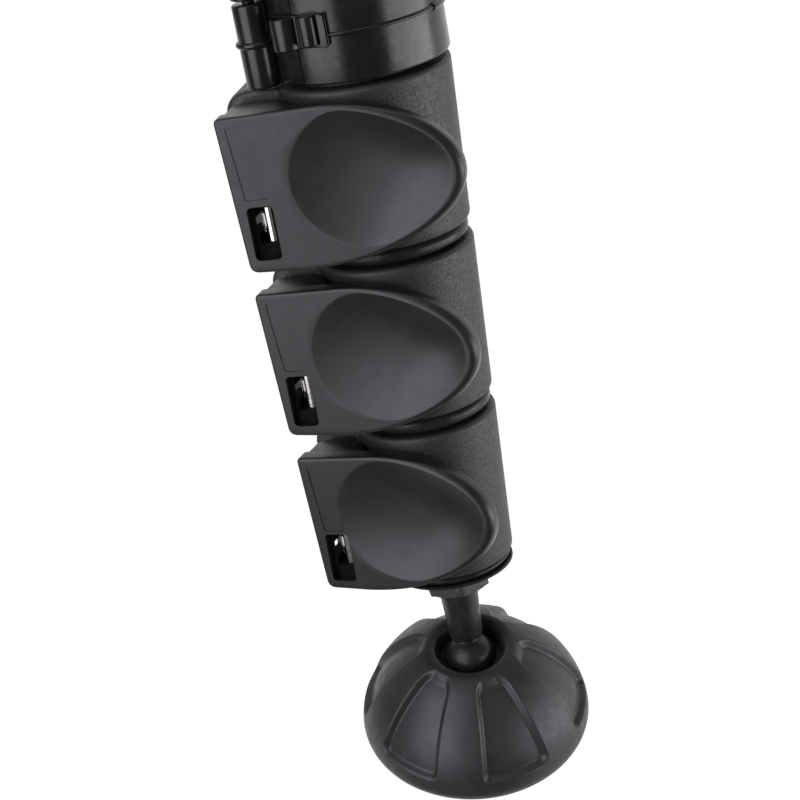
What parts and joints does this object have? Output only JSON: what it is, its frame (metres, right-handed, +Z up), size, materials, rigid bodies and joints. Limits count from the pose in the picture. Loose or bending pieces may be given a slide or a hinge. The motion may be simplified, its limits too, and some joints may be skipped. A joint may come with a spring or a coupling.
{
  "type": "camera monopod",
  "caption": "Closed camera monopod: nested round leg tubes with flip-lever clamps, a threaded camera platform, foam grip and a domed rubber foot on a ball joint.",
  "frame": {"origin": "on the leg's axis, at the top of the camera platform, where the stud stands", "axes": "+Z up along the leg and out of the camera stud; -Y is the side that the levers face; the clamp ears are on -X, each clamp turned a few degrees as in the picture"},
  "size_m": [0.0642, 0.0657, 0.5593],
  "materials": {
    "zinc_steel": "bright zinc",
    "black_anodised": "satin black anodised aluminium",
    "cast_black": "fine black powder coat on a casting",
    "pad_rubber": "matt ribbed rubber",
    "ring_plastic": "smooth moulded black",
    "grip_foam": "closed-cell foam, ground surface",
    "collar_plastic": "polished moulded black",
    "nylon": "waxy grey nylon",
    "blackened_steel": "black oxide",
    "foot_rubber": "matt moulded rubber",
    "lock_plastic": "spark-eroded grain on glass-filled nylon",
    "lever_plastic": "satin moulded black"
  },
  "bodies": {
    "upper_section": {"camera_stud": "zinc_steel", "platform": "black_anodised", "platform_pad": "pad_rubber", "platform_grub_screws": "zinc_steel", "top_cap": "cast_black", "cap_bolt": "zinc_steel", "upper_tube": "black_anodised", "grip_rings": "ring_plastic", "foam_grip": "grip_foam", "collar_front_shell": "collar_plastic", "collar_rear_shell": "collar_plastic", "collar_pin": "blackened_steel", "lock_1_body": "lock_plastic", "lock_1_pin": "zinc_steel", "lock_1_bolt": "zinc_steel", "lock_1_washer": "zinc_steel", "lock_1_nut": "zinc_steel", "lock_1_sleeve": "nylon", "lock_1_end_ring": "ring_plastic"},
    "section_2": {"tube_2": "black_anodised", "tube_2_guide": "nylon", "lock_2_body": "lock_plastic", "lock_2_pin": "zinc_steel", "lock_2_bolt": "zinc_steel", "lock_2_washer": "zinc_steel", "lock_2_nut": "zinc_steel", "lock_2_sleeve": "nylon", "lock_2_end_ring": "ring_plastic"},
    "section_3": {"tube_3": "black_anodised", "tube_3_guide": "nylon", "lock_3_body": "lock_plastic", "lock_3_pin": "zinc_steel", "lock_3_bolt": "zinc_steel", "lock_3_washer": "zinc_steel", "lock_3_nut": "zinc_steel", "lock_3_sleeve": "nylon", "lock_3_end_ring": "ring_plastic"},
    "section_4": {"tube_4": "black_anodised", "tube_4_guide": "nylon", "foot_plug": "black_anodised", "foot_nut": "blackened_steel", "foot_stem": "blackened_steel"},
    "foot_liner": {"ball_liner": "nylon"},
    "foot_cup": {"socket_cup": "blackened_steel", "socket_ring": "blackened_steel"},
    "foot_pad": {"rubber_foot": "foot_rubber"},
    "lever_1": {"lock_1_lever": "lever_plastic"},
    "lever_2": {"lock_2_lever": "lever_plastic"},
    "lever_3": {"lock_3_lever": "lever_plastic"}
  },
  "joints": [
    {"name": "section_2_slide", "type": "slide", "parent": "upper_section", "child": "section_2", "axis": [0, 0, -1], "range_m": [0, 0.3]},
    {"name": "section_3_slide", "type": "slide", "parent": "section_2", "child": "section_3", "axis": [0, 0, -1], "range_m": [0, 0.345]},
    {"name": "section_4_slide", "type": "slide", "parent": "section_3", "child": "section_4", "axis": [0, 0, -1], "range_m": [0, 0.385]},
    {"name": "lever_1_flip", "type": "hinge", "parent": "upper_section", "child": "lever_1", "pos_m": [-0.02105, -0.02443, -0.3748], "axis": [0, 0, -1], "range_deg": [0, 90]},
    {"name": "lever_2_flip", "type": "hinge", "parent": "section_2", "child": "lever_2", "pos_m": [-0.02161, -0.02028, -0.42075], "axis": [0, 0, -1], "range_deg": [0, 90]},
    {"name": "lever_3_flip", "type": "hinge", "parent": "section_3", "child": "lever_3", "pos_m": [-0.02111, -0.01685, -0.4667], "axis": [0, 0, -1], "range_deg": [0, 90]},
    {"name": "foot_tilt", "type": "hinge", "parent": "section_4", "child": "foot_liner", "pos_m": [0, 0, -0.5185], "axis": [0.8572, 0.515, 0], "range_deg": [-40, 3]},
    {"name": "foot_lean", "type": "hinge", "parent": "foot_liner", "child": "foot_cup", "pos_m": [0, 0, -0.5185], "axis": [-0.4876, 0.8114, 0.3223], "range_deg": [-20, 20]},
    {"name": "foot_turn", "type": "hinge", "parent": "foot_cup", "child": "foot_pad", "pos_m": [0, 0, -0.5185], "axis": [0.166, -0.2762, 0.9466], "continuous": true}
  ]
}
